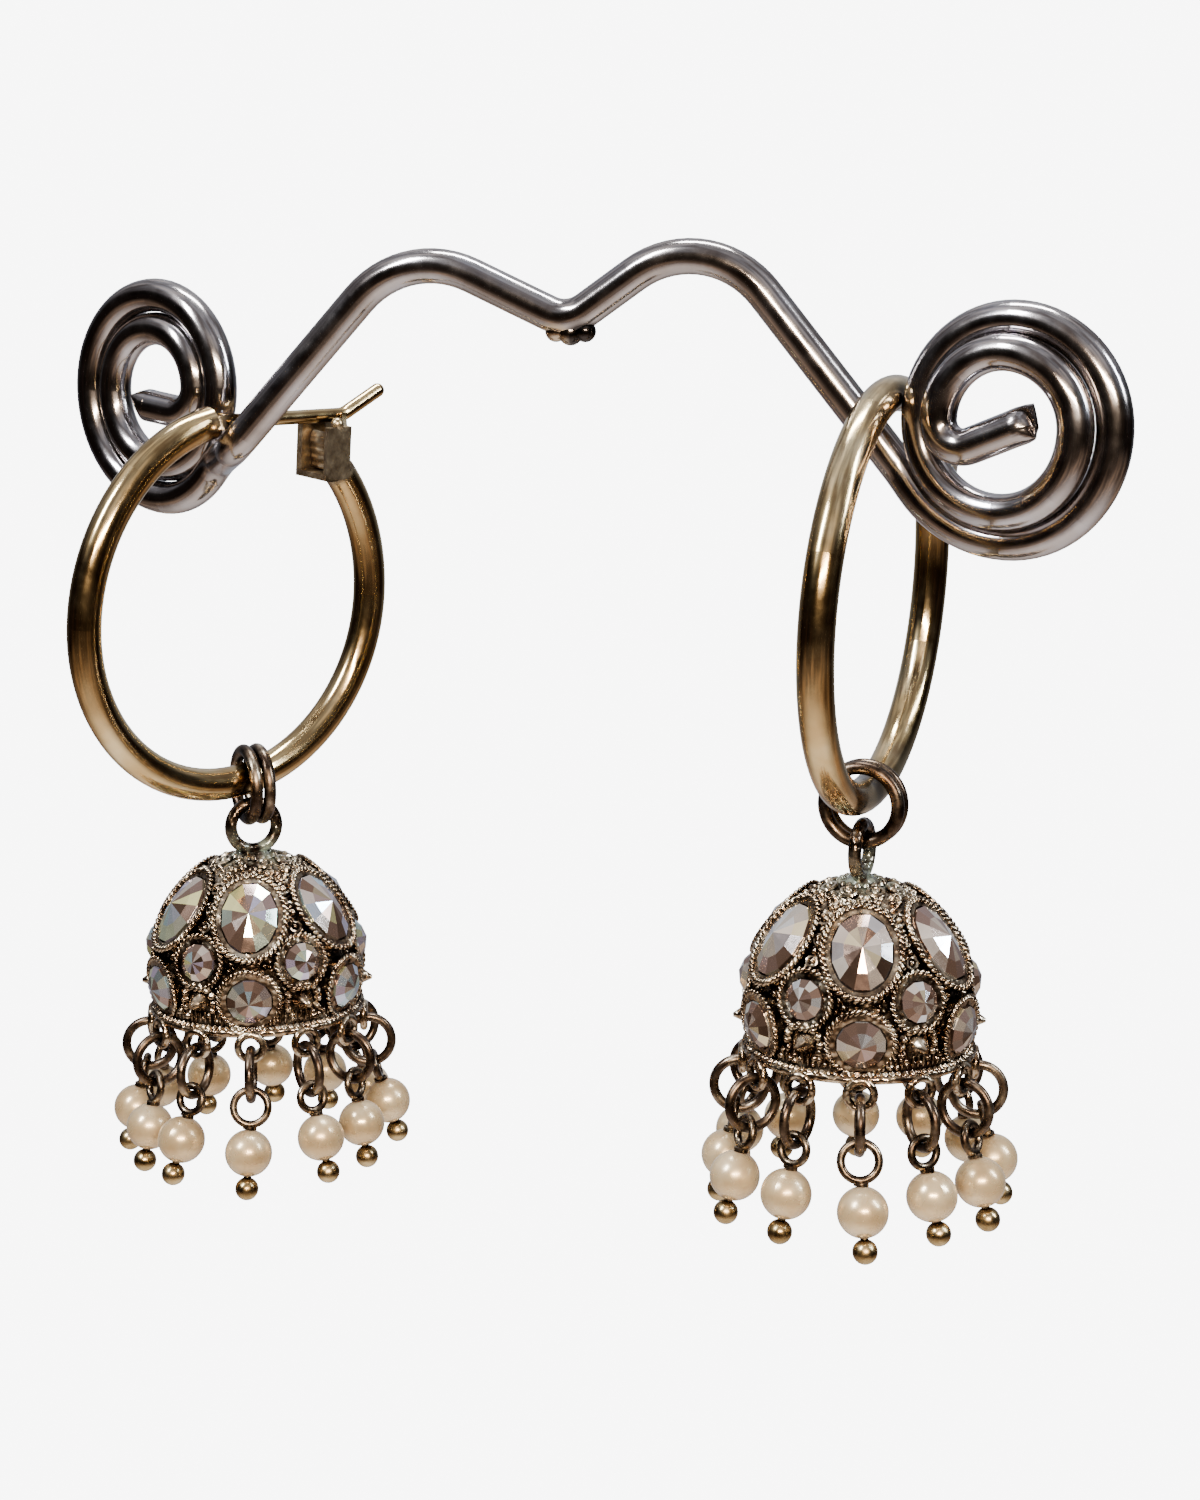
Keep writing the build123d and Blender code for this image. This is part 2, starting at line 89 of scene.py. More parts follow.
# how far the drops swing out from the bell, and how far each sways along the rim
SWING_OUT = 13.0
SWING_VARY = 3.0
SWING_STEP = 2.4
PHASE = {"left": 0.4, "right": 2.1}
SWAYS = {
    "left": (-3, 5, -1, 3, -2, 3, -3, 2, -3, 2, 1, -7),
    "right": (4, 7, -1, 2, -3, 3, -2, 3, -2, 3, 1, -3),
}

# each hoop's middle, the heading of its far side, its lean and its clasp's turn from the top
HOOPS = {
    "left": ((-23.21, 2.40, -16.89), 62.95, 5.1, 0.0),
    "right": ((18.55, 0.2, -14.6), 84.26, 3.0, 20.0),
}
# the catch and the spring plate inside it: across the hoop from its middle, and up
CATCH_AT = (7.1, 9.8)
SPRING_AT = (6.75, 9.75)
SPRING_LEAN = 9

# the display wire, and where each coil's end was cut, which way it points and its pinch's turn
WIRE_R = 1.05
CUTS = {
    "left": ((-30.445, 6.174, -4.377), (-0.9266, 0.3557, 0.1219), 35),
    "right": ((27.199, -4.430, -3.897), (0.8882, -0.2684, 0.3728), 70),
}
CUT_STANDS_OUT = 0.35
# the straw-coloured and the burnt side of the weld, in metres
STRAW_SIDE = (-0.0008, -0.0003, 0.0006)
BURNT_SIDE = (0.0009, -0.0003, 0.0005)

# ---- the floor, the lights' aim and the camera ----
FLOOR_R = 440
FLOOR_BELOW = 300
AIM = (0, 0, -0.02)
CAMERA_AT = (0.0469, -0.15095, 0.006)
CAMERA_WAY = (-0.2811, 0.9410, -0.1882)
CAMERA_LENS = 63.6


# ---- bench helpers ----
def nothing_held():
    bpy.ops.object.select_all(action="DESELECT")


def held(piece):
    nothing_held()
    piece.select_set(True)
    bpy.context.view_layer.objects.active = piece


def hold_all():
    """Selects all of the piece at hand, in edit mode."""
    bpy.ops.object.mode_set(mode="EDIT")
    bpy.ops.mesh.select_all(action="SELECT")


def hold_points(piece, wanted):
    """Selects the points that wanted says, in edit mode."""
    bpy.ops.object.mode_set(mode="EDIT")
    bpy.ops.mesh.select_mode(type="VERT")
    bpy.ops.mesh.select_all(action="DESELECT")
    bpy.ops.object.mode_set(mode="OBJECT")
    for point in piece.data.vertices:
        point.select = wanted(point.co)
    bpy.ops.object.mode_set(mode="EDIT")


def stretch(x, y, z):
    """Stretches what is selected, about the origin."""
    bpy.ops.transform.resize(value=(x, y, z), center_override=(0, 0, 0))


def lift_by(height):
    """Lifts what is selected by a height in millimetres."""
    bpy.ops.transform.translate(value=(0, 0, height * MM))


def settled(piece):
    """Puts a piece's place into its mesh and smooths it."""
    bpy.ops.object.mode_set(mode="OBJECT")
    held(piece)
    bpy.ops.object.transform_apply(location=True, rotation=True, scale=True)
    bpy.ops.object.shade_smooth_by_angle(angle=radians(50))
    return piece


def frame_at(spot, across, up, out):
    """A place at a spot, with x across, y up and z out."""
    return Matrix((
        (across.x, up.x, out.x, spot.x),
        (across.y, up.y, out.y, spot.y),
        (across.z, up.z, out.z, spot.z),
        (0, 0, 0, 1),
    ))


def laid(pattern, name, places):
    """Copies a shaped piece to each place and solders the copies into one piece."""
    copies = []
    for place in places:
        one = pattern.copy()
        one.data = pattern.data.copy()
        bpy.context.collection.objects.link(one)
        one.data.transform(place)
        copies.append(one)
    nothing_held()
    for one in copies:
        one.select_set(True)
    bpy.context.view_layer.objects.active = copies[0]
    bpy.ops.object.join()
    copies[0].name = name
    copies[0].data.name = name
    return copies[0]


def put_away(pattern):
    mesh = pattern.data
    bpy.data.objects.remove(pattern)
    bpy.data.meshes.remove(mesh)


# ---- patterns, each shaped once at the origin; the bell's are made large and laid smaller ----
def granule_pattern():
    """A solder ball with a spread foot."""
    nothing_held()
    bpy.ops.mesh.primitive_uv_sphere_add(segments=8, ring_count=5, radius=1 * MM)
    piece = bpy.context.object
    hold_points(piece, lambda co: co.z < -0.2 * MM)
    stretch(1.35, 1.35, 0.6)
    return settled(piece)


def rope_grain_pattern():
    """One strand crossing of a twisted wire, lying slantwise."""
    nothing_held()
    bpy.ops.mesh.primitive_uv_sphere_add(segments=8, ring_count=6, radius=1 * MM)
    piece = bpy.context.object
    hold_all()
    stretch(1.95, 0.8, 1.0)
    hold_points(piece, lambda co: abs(co.x) > 1.2 * MM)
    stretch(1.0, 0.75, 0.75)
    bpy.ops.object.mode_set(mode="OBJECT")
    piece.data.transform(Matrix.Rotation(radians(38), 4, "Z"))
    return settled(piece)


def flute_pattern():
    """An upright rib with drawn-in ends."""
    nothing_held()
    bpy.ops.mesh.primitive_cylinder_add(vertices=8, radius=1 * MM, depth=2 * MM)
    piece = bpy.context.object
    hold_all()
    bpy.ops.mesh.subdivide(number_cuts=1)
    hold_points(piece, lambda co: abs(co.z) > 0.9 * MM)
    stretch(0.4, 0.4, 1.1)
    return settled(piece)


def eyelet_pattern():
    """A small wire ring with a ball in it, pressed a little flat."""
    nothing_held()
    bpy.ops.mesh.primitive_torus_add(
        major_segments=14, minor_segments=6, major_radius=1 * MM, minor_radius=0.34 * MM)
    ring = bpy.context.object
    hold_all()
    stretch(1.0, 0.86, 0.85)
    settled(ring)
    nothing_held()
    bpy.ops.mesh.primitive_uv_sphere_add(segments=8, ring_count=5, radius=0.5 * MM)
    ball = bpy.context.object
    hold_points(ball, lambda co: co.z < -0.1 * MM)
    stretch(1.3, 1.3, 0.6)
    settled(ball)
    ring.select_set(True)
    bpy.context.view_layer.objects.active = ring
    bpy.ops.object.join()
    return ring


def wrap_pattern():
    """A turn and a half of fine wire round a pin's stem, over the pearl."""
    wire_r, round_stem, pitch = 0.1, 0.36, 0.2
    nothing_held()
    bpy.ops.mesh.primitive_circle_add(
        vertices=6, radius=wire_r * MM, location=(round_stem * MM, 0, -wire_r * MM),
        rotation=(pi / 2, 0, 0))
    piece = bpy.context.object
    held(piece)
    bpy.ops.object.transform_apply(location=True, rotation=True, scale=True)
    turns = piece.modifiers.new("turns", "SCREW")
    turns.angle = radians(1.5 * 360)
    turns.screw_offset = pitch * MM
    turns.steps = 24
    turns.render_steps = 24
    turns.axis = "Z"
    bpy.ops.object.modifier_apply(modifier="turns")
    bpy.ops.object.mode_set(mode="EDIT")
    bpy.ops.mesh.select_mode(type="VERT")
    bpy.ops.mesh.select_all(action="DESELECT")
    bpy.ops.mesh.select_non_manifold()
    bpy.ops.mesh.fill_holes(sides=8)
    bpy.ops.mesh.select_all(action="SELECT")
    bpy.ops.mesh.normals_make_consistent(inside=False)
    return settled(piece)


def spring_pattern():
    """The catch's inner spring plate: a ribbed strip, bowed, with a rolled top edge."""
    half_width, half_length, rows, thick = 1.01, 1.25, 14, 0.14
    nothing_held()
    bpy.ops.mesh.primitive_grid_add(x_subdivisions=8, y_subdivisions=rows, size=2 * MM)
    piece = bpy.context.object
    hold_all()
    stretch(half_width, half_length, 1.0)

    def on_a_rib(co):
        return round((co.y / MM + half_length) / (2 * half_length / rows)) % 3 == 1

    hold_points(piece, on_a_rib)
    lift_by(0.14)
    hold_points(piece, lambda co: abs(co.x) < 0.3 * MM)
    lift_by(0.1)
    hold_points(piece, lambda co: co.y > 1.0 * MM)
    lift_by(-0.3)
    bpy.ops.object.mode_set(mode="OBJECT")
    held(piece)
    wall = piece.modifiers.new("wall", "SOLIDIFY")
    wall.thickness = thick * MM
    bpy.ops.object.modifier_apply(modifier="wall")
    soft = piece.modifiers.new("soft", "SUBSURF")
    soft.levels = 1
    soft.render_levels = 1
    bpy.ops.object.modifier_apply(modifier="soft")
    return settled(piece)


def cut_pattern():
    """The pinched end that side cutters leave on a wire."""
    length, tip = 1.3, 0.6
    nothing_held()
    bpy.ops.mesh.primitive_cylinder_add(
        vertices=28, radius=WIRE_R * 1.01 * MM, depth=length * MM)
    piece = bpy.context.object
    hold_all()
    bpy.ops.mesh.subdivide(number_cuts=2)
    hold_points(piece, lambda co: co.z > tip * MM)
    stretch(0.95, 0.16, 1.0)
    hold_points(piece, lambda co: abs(co.z - 0.22 * MM) < 0.1 * MM)
    stretch(1.0, 0.72, 1.0)
    hold_points(piece, lambda co: co.z > tip * MM and co.x > 0.5 * MM)
    lift_by(-0.22)
    return settled(piece)


# ---- where things sit ----
def bell_rim(side):
    low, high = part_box(side + "_bell")
    return Vector(((low.x + high.x) / 2, (low.y + high.y) / 2, low.z + RIM_ABOVE_LOOPS * MM))


RIM = {side: bell_rim(side) for side in FRONT}


def flat(heading):
    return Vector((cos(radians(heading)), sin(radians(heading)), 0))


def hoop_frame(side):
    """The hoop's own place: x from the hinge to the catch, y up, z out to the front right."""
    middle, heading, lean, clasp_turn = HOOPS[side]
    across = flat(heading)
    sideways = Vector((across.y, -across.x, 0))
    up = Vector((0, 0, cos(radians(lean)))) + sideways * sin(radians(lean))
    out = across.cross(up).normalized()
    upright = frame_at(Vector(middle) * MM, across, up.normalized(), out)
    return upright @ Matrix.Rotation(radians(-clasp_turn), 4, "Z")


def shell_spot(height):
    """The shell's radius at a height over the rim, and the lift of its face above level."""
    rise = height - WALL_H
    if rise < 0:
        slope = (RIM_R - DOME_R) / WALL_H
        return DOME_R - slope * rise, -degrees(slope)
    knee = asin(TOP_CENTRE / (DOME_SIDE_R - DOME_TOP_R))
    if rise < DOME_SIDE_R * sin(knee):
        lift = asin(rise / DOME_SIDE_R)
        return SIDE_CENTRE + DOME_SIDE_R * cos(lift), degrees(lift)
    lift = asin(min(1, (rise - TOP_CENTRE) / DOME_TOP_R))
    return DOME_TOP_R * cos(lift), degrees(lift)


def shell_frame(side, height, heading, out=0.0, size=1.0, spin=0.0, tilt=0.0):
    """A place on the shell, x round the bell, y up it, z outward."""
    radius, lift = shell_spot(height)
    lift += tilt
    outward = flat(heading) * cos(radians(lift)) + Vector((0, 0, sin(radians(lift))))
    spot = RIM[side] + flat(heading) * radius * MM + Vector((0, 0, height * MM))
    spot += outward * out * MM
    across = flat(heading + 90)
    place = frame_at(spot, across, outward.cross(across), outward)
    return place @ Matrix.Rotation(radians(spin), 4, "Z") @ Matrix.Scale(size, 4)


def round_the_cups(side, row, out, grow, pitch, size, slant=True):
    """Places for a twisted wire or a row of balls round each cup of one row."""
    places = []
    half_x = row["across"] / 2 + grow
    half_y = row["along"] / 2 + grow
    about = pi * (3 * (half_x + half_y) - sqrt((3 * half_x + half_y) * (half_x + 3 * half_y)))
    count = round(about / pitch)
    step = about / count
    for column in range(COLUMNS):
        heading = FRONT[side] + row["turn"] + column * 360 / COLUMNS
        cup = shell_frame(side, row["height"], heading, out - row["sink"], tilt=row["tilt"])
        angle = 0.0
        for _ in range(count):
            spot = Matrix.Translation((half_x * cos(angle) * MM, half_y * sin(angle) * MM, 0))
            along = Vector((-half_x * sin(angle), half_y * cos(angle), 0))
            turn = 0.0
            if slant:
                turn = Vector((1, 0, 0)).angle(along.normalized()) * (1 if along.y >= 0 else -1)
            places.append(cup @ spot @ Matrix.Rotation(turn, 4, "Z") @ Matrix.Scale(size, 4))
            angle += step / along.length
    return places


def clear_of_cups(side, height, heading, room):
    """True where the bare shell shows between the cups."""
    steepest = 0.35
    radius, lift = shell_spot(height)
    for row in (OVAL, ROUND, LOW, BOSS):
        row_lift = shell_spot(row["height"])[1]
        rise = (height - row["height"]) / max(steepest, cos(radians((lift + row_lift) / 2)))
        half_x = row["across"] / 2 + room
        half_y = row["along"] / 2 + room
        for column in range(COLUMNS):
            cup_heading = FRONT[side] + row["turn"] + column * 360 / COLUMNS
            off = (heading - cup_heading + 180) % 360 - 180
            sweep = radians(off) * radius
            if (sweep / half_x) ** 2 + (rise / half_y) ** 2 < 1:
                return False
    return True


def dust_places(side):
    """Fine granules scattered over the bare shell, each clear of the last ones."""
    tries, most = 5200, 420
    lowest, reach, thinning = 0.75, 9.1, 0.9
    cup_room, out, apart = 0.3, 0.04, 0.8
    pick = random.Random(11 if side == "left" else 12)
    taken = []
    places = []
    for _ in range(tries):
        height = lowest + reach * pick.random() ** thinning
        heading = pick.uniform(0, 360)
        size = pick.uniform(0.13, 0.25)
        if not clear_of_cups(side, height, heading, cup_room):
            continue
        place = shell_frame(side, height, heading, out, size)
        spot = place.translation
        if any((spot - other).length < apart * (size + other_size) * MM
               for other, other_size in taken):
            continue
        taken.append((spot, size))
        places.append(place)
        if len(places) == most:
            break
    return places


def rim_ball_places(side):
    """A row of balls round the lip."""
    count, height, out, size = 104, 0.36, 0.1, 0.2
    return [shell_frame(side, height, n * 360 / count, out, size) for n in range(count)]


def flute_places(side):
    """Upright ribs round the wall, over the row of balls."""
    count, height, out = 120, 0.95, 0.03
    upright = Matrix.Rotation(-pi / 2, 4, "X")
    slim = Matrix.Diagonal((0.11, 0.11, 0.42, 1))
    places = []
    for n in range(count):
        place = shell_frame(side, height, n * 360 / count, out)
        places.append(place @ upright @ slim)
    return places


def scroll_places(side):
    """Wire scrolls round the crown, and down each gap between the ovals."""
    count, height, out, size, spin = 8, 10.0, 0.1, 0.48, 20
    places = []
    for n in range(count):
        heading = FRONT[side] + 180 / count + n * 360 / count
        places.append(shell_frame(side, height, heading, out, size, spin * n))
    for n in range(COLUMNS):
        heading = FRONT[side] + ROUND["turn"] + n * 360 / COLUMNS
        for height, out, size, spin in GAP_SCROLLS:
            places.append(shell_frame(side, height, heading, out, size, spin))
    return places


def collar_places(side):
    """A row of balls round the foot of the eye."""
    count, radius, sunk, size = 16, 1.3, 0.06, 0.2
    places = []
    for n in range(count):
        spot = flat(n * 360 / count) * radius + Vector((0, 0, BELL_H - sunk))
        places.append(Matrix.Translation(RIM[side] + spot * MM) @ Matrix.Scale(size, 4))
    return places


def drop_lines(side):
    """Where each head pin's stem starts, which way it falls, and a level way across it."""
    lines = []
    for n in range(DROPS):
        heading = FRONT[side] + n * 360 / DROPS
        outward = flat(heading)
        along = flat(heading + 90)
        pivot = RIM[side] + (outward * LOOP_AT - Vector((0, 0, LOOP_DROP + LOOP_R))) * MM
        swing = radians(SWING_OUT + SWING_VARY * sin(SWING_STEP * n + PHASE[side]))
        down = outward * sin(swing) - Vector((0, 0, cos(swing)))
        ring_low = pivot + down * (2 * LINK_R - LOOP_WIRE_R - LINK_WIRE_R - WIRE_GAP) * MM
        sway = radians(SWAYS[side][n])
        fall = (down * cos(sway) + along * sin(sway)).normalized()
        loop_r = PIN_LOOP_R if n else FRONT_LOOP_R
        start = ring_low + fall * (2 * loop_r - LINK_WIRE_R - PIN_WIRE_R - WIRE_GAP) * MM
        lines.append((start, fall, fall.cross(along).normalized()))
    return lines


def wrap_places(side):
    """A place just down each stem, with z up the stem."""
    down_stem = 0.22
    places = []
    for start, fall, level in drop_lines(side):
        spot = start + fall * down_stem * MM
        places.append(frame_at(spot, level, (-fall).cross(level), -fall))
    return places


# ---- finishes ----
def new_finish(name):
    finish = bpy.data.materials.new(name)
    finish.use_nodes = True
    tree = finish.node_tree
    shader = tree.nodes["Principled BSDF"]
    place = tree.nodes.new("ShaderNodeTexCoord")
    return finish, tree, shader, place.outputs["Object"]


def clouds(tree, where, scale, detail=4.0, rough=0.55):
    noise = tree.nodes.new("ShaderNodeTexNoise")
    noise.inputs["Scale"].default_value = scale
    noise.inputs["Detail"].default_value = detail
    noise.inputs["Roughness"].default_value = rough
    tree.links.new(where, noise.inputs["Vector"])
    return noise.outputs["Fac"]


def shades(tree, value, stops):
    ramp = tree.nodes.new("ShaderNodeValToRGB")
    while len(ramp.color_ramp.elements) < len(stops):
        ramp.color_ramp.elements.new(0.5)
    for element, (at, colour) in zip(ramp.color_ramp.elements, stops):
        element.position = at
        element.color = (*colour, 1)
    tree.links.new(value, ramp.inputs["Fac"])
    return ramp.outputs["Color"]


def span(tree, value, low, high, start, end):
    """Runs from low to high while the value goes from start to end."""
    ranged = tree.nodes.new("ShaderNodeMapRange")
    ranged.inputs["From Min"].default_value = start
    ranged.inputs["From Max"].default_value = end
    ranged.inputs["To Min"].default_value = low
    ranged.inputs["To Max"].default_value = high
    tree.links.new(value, ranged.inputs["Value"])
    return ranged.outputs["Result"]


def blended(tree, share, first, second, kind="MIX"):
    mix = tree.nodes.new("ShaderNodeMix")
    mix.data_type = "RGBA"
    mix.blend_type = kind
    for socket, value in ((mix.inputs[0], share), (mix.inputs[6], first), (mix.inputs[7], second)):
        if isinstance(value, (int, float)):
            socket.default_value = value
        elif isinstance(value, tuple):
            socket.default_value = (*value, 1)
        else:
            tree.links.new(value, socket)
    return mix.outputs[2]


def patchy(tree, where, scale, detail, low, high):
    """A roughness that comes and goes in patches."""
    return span(tree, clouds(tree, where, scale, detail), low, high, 0.3, 0.7)


def surfaced(tree, shader, colour, rough):
    tree.links.new(colour, shader.inputs["Base Color"])
    tree.links.new(rough, shader.inputs["Roughness"])


def raised(tree, shader, height, depth, strength):
    """Fine relief, its depth in millimetres."""
    bump = tree.nodes.new("ShaderNodeBump")
    bump.inputs["Strength"].default_value = strength
    bump.inputs["Distance"].default_value = depth * MM
    tree.links.new(height, bump.inputs["Height"])
    tree.links.new(bump.outputs["Normal"], shader.inputs["Normal"])


def painted_shade_and_patina(tree, colour, shade_and_patina_colour, reach, start, end):
    """Paints shade where the surface is shut in by other metal within a reach; on the bell, part
    patina.
    """
    shade = tree.nodes.new("ShaderNodeAmbientOcclusion")
    shade.samples = 8
    shade.inputs["Distance"].default_value = reach * MM
    return blended(tree, span(tree, shade.outputs["AO"], 0.0, 1.0, start, end), shade_and_patina_colour, colour)


def near_to(tree, where, spot, reach, most, start, end):
    """A patch round a spot: nothing at its reach, and the most of it near the spot."""
    moved = tree.nodes.new("ShaderNodeMapping")
    moved.vector_type = "POINT"
    moved.inputs["Location"].default_value = tuple(-c / (reach * MM) for c in spot)
    moved.inputs["Scale"].default_value = (1 / (reach * MM),) * 3
    tree.links.new(where, moved.inputs["Vector"])
    ball = tree.nodes.new("ShaderNodeTexGradient")
    ball.gradient_type = "SPHERICAL"
    tree.links.new(moved.outputs["Vector"], ball.inputs["Vector"])
    return span(tree, ball.outputs["Fac"], 0.0, most, start, end)


def steel_finish():
    """Polished steel wire, faintly drawn and fingered, with heat colour at the weld."""
    finish, tree, shader, where = new_finish("polished_steel_wire")
    colour = shades(tree, clouds(tree, where, 260), (
        (0.3, (0.31, 0.275, 0.26)), (0.52, (0.43, 0.4, 0.395)), (0.78, (0.53, 0.53, 0.58))))
    straw = near_to(tree, where, STRAW_SIDE, 1.3, 0.9, 0.1, 0.4)
    colour = blended(tree, straw, colour, (0.52, 0.42, 0.3))
    burnt = near_to(tree, where, BURNT_SIDE, 1.5, 0.95, 0.15, 0.45)
    colour = blended(tree, burnt, colour, (0.03, 0.024, 0.022))
    surfaced(tree, shader, colour, patchy(tree, where, 700, 6, 0.1, 0.2))
    shader.inputs["Metallic"].default_value = 1.0
    raised(tree, shader, clouds(tree, where, 700, 2), 0.012, 0.15)
    return finish


def gold_finish(name, catch=None):
    """Yellow gold plate with painted shade, browner where it is shut in: polished, but satin on a
    stamped catch.
    """
    finish, tree, shader, where = new_finish(name)
    colour = shades(tree, clouds(tree, where, 260, 3), (
        (0.3, (0.47, 0.31, 0.135)), (0.5, (0.64, 0.465, 0.225)), (0.7, (0.8, 0.64, 0.37))))
    rough = patchy(tree, where, 800, 6, 0.1, 0.2)
    if catch is not None:
        stamped = near_to(tree, where, catch, 3.2, 1.0, 0.18, 0.3)
        satin = shades(tree, clouds(tree, where, 1300, 5), (
            (0.35, (0.2, 0.15, 0.095)), (0.55, (0.36, 0.29, 0.19)), (0.75, (0.62, 0.53, 0.37))))
        colour = blended(tree, stamped, colour, satin)
        rough = blended(tree, stamped, rough, (0.42, 0.42, 0.42))
    # painted shade: the gold is browned where other metal shuts it in
    colour = painted_shade_and_patina(tree, colour, (0.09, 0.062, 0.038), 1.2, 0.2, 0.8)
    surfaced(tree, shader, colour, rough)
    shader.inputs["Metallic"].default_value = 1.0
    raised(tree, shader, clouds(tree, where, 1100, 2), 0.015, 0.2)
    return finish


def ring_finish():
    """Darkened bronze rings, rubbed brighter in patches."""
    finish, tree, shader, where = new_finish("dark_bronze_ring")
    colour = shades(tree, clouds(tree, where, 900, 5), (
        (0.38, (0.05, 0.032, 0.022)), (0.56, (0.16, 0.115, 0.08)), (0.74, (0.5, 0.42, 0.31))))
    # painted shade: darker still where the ring is shut in by other metal
    colour = painted_shade_and_patina(tree, colour, (0.03, 0.02, 0.014), 0.6, 0.3, 0.95)
    surfaced(tree, shader, colour, patchy(tree, where, 1400, 4, 0.18, 0.42))
    shader.inputs["Metallic"].default_value = 1.0
    raised(tree, shader, clouds(tree, where, 1800, 4), 0.03, 0.35)
    return finish


def bell_finish(side):
    """Antiqued pale gold: burnished high places, dark recesses that are part patina and part
    painted shade, a bloom of green by the eye.
    """
    finish, tree, shader, where = new_finish("antique_filigree_" + side)
    colour = shades(tree, clouds(tree, where, 750, 6, 0.65), (
        (0.32, (0.15, 0.09, 0.055)), (0.48, (0.46, 0.34, 0.22)), (0.68, (0.86, 0.76, 0.58))))
    # dark recesses: partly the antiqued patina, partly painted shade where other metal shuts the
    # surface in
    colour = painted_shade_and_patina(tree, colour, (0.035, 0.02, 0.012), 0.9, 0.35, 1.0)
    eye = RIM[side] + Vector((0, 0, (BELL_H + 1.85) * MM))
    worn = near_to(tree, where, eye, 2.4, 0.9, 0.0, 0.25)
    colour = blended(tree, worn, colour, (0.075, 0.05, 0.035))
    crown = RIM[side] + Vector((0, 0, (BELL_H - 0.2) * MM))
    bloom = tree.nodes.new("ShaderNodeMath")
    bloom.operation = "MULTIPLY"
    tree.links.new(near_to(tree, where, crown, 3.4, 0.9, 0.1, 0.75), bloom.inputs[0])
    tree.links.new(span(tree, clouds(tree, where, 1100, 5), 0.0, 1.0, 0.42, 0.62), bloom.inputs[1])
    colour = blended(tree, bloom.outputs[0], colour, (0.36, 0.44, 0.37))
    surfaced(tree, shader, colour, patchy(tree, where, 1500, 4, 0.1, 0.32))
    shine = tree.nodes.new("ShaderNodeMath")
    shine.operation = "MULTIPLY_ADD"
    shine.inputs[1].default_value = -0.55
    shine.inputs[2].default_value = 1.0
    tree.links.new(bloom.outputs[0], shine.inputs[0])
    tree.links.new(shine.outputs[0], shader.inputs["Metallic"])
    pits = tree.nodes.new("ShaderNodeTexVoronoi")
    pits.feature = "SMOOTH_F1"
    pits.inputs["Scale"].default_value = 2600
    tree.links.new(where, pits.inputs["Vector"])
    raised(tree, shader, pits.outputs["Distance"], -0.13, 0.8)
    return finish


def pin_finish(side):
    """Head pins: darkened bronze loops over the pearls, bright brass ball ends under them."""
    finish, tree, shader, where = new_finish("antique_pin_" + side)
    brass = shades(tree, clouds(tree, where, 800, 5), (
        (0.3, (0.26, 0.17, 0.07)), (0.5, (0.5, 0.37, 0.18)), (0.75, (0.72, 0.58, 0.34))))
    bronze = shades(tree, clouds(tree, where, 1000, 5), (
        (0.38, (0.06, 0.04, 0.027)), (0.56, (0.2, 0.15, 0.1)), (0.74, (0.56, 0.48, 0.36))))
    parts = tree.nodes.new("ShaderNodeSeparateXYZ")
    tree.links.new(where, parts.inputs[0])
    pearls = RIM[side].z - PEARL_BELOW * MM
    above = span(tree, parts.outputs["Z"], 0.0, 1.0, pearls - 0.3 * MM, pearls + 0.3 * MM)
    colour = blended(tree, above, brass, bronze)
    # painted shade: darker where the pins are shut in by other metal
    colour = painted_shade_and_patina(tree, colour, (0.06, 0.04, 0.025), 0.5, 0.3, 0.9)
    surfaced(tree, shader, colour, patchy(tree, where, 1500, 4, 0.15, 0.38))
    shader.inputs["Metallic"].default_value = 1.0
    raised(tree, shader, clouds(tree, where, 1600, 4), 0.02, 0.3)
    return finish


def crystal_finish(name, body, painted_glints, painted_flash_level):
    """Foiled champagne crystal with painted reflections: each facet's colour is set by the way its
    face points, and some facets get a painted glint.
    """
    finish, tree, shader, where = new_finish(name)
    face = tree.nodes.new("ShaderNodeNewGeometry").outputs["True Normal"]
    # painted reflections: body holds the facet colours picked by the way each face points, and a
    # few facets get a bright painted glint
    painted_facet_colour = shades(tree, clouds(tree, face, 4.5, 2), tuple(zip((0.36, 0.46, 0.54, 0.61), body)))
    painted_flash_mask = span(tree, clouds(tree, face, 5.5, 1), 0.0, 1.0, painted_flash_level, painted_flash_level + 0.06)
    painted_flash_colour = shades(tree, clouds(tree, face, 3.3, 1), tuple(zip((0.38, 0.5, 0.6), painted_glints)))
    painted_facet_colour = blended(tree, painted_flash_mask, painted_facet_colour, painted_flash_colour)
    foil = span(tree, clouds(tree, where, 500, 2), 0.0, 0.3, 0.3, 0.7)
    painted_facet_colour = blended(tree, foil, painted_facet_colour, (0.24, 0.16, 0.12))
    surfaced(tree, shader, painted_facet_colour, patchy(tree, where, 1200, 3, 0.08, 0.14))
    shader.inputs["Metallic"].default_value = 0.8
    shader.inputs["IOR"].default_value = 1.6
    shader.inputs["Coat Weight"].default_value = 0.5
    shader.inputs["Coat Roughness"].default_value = 0.08
    return finish


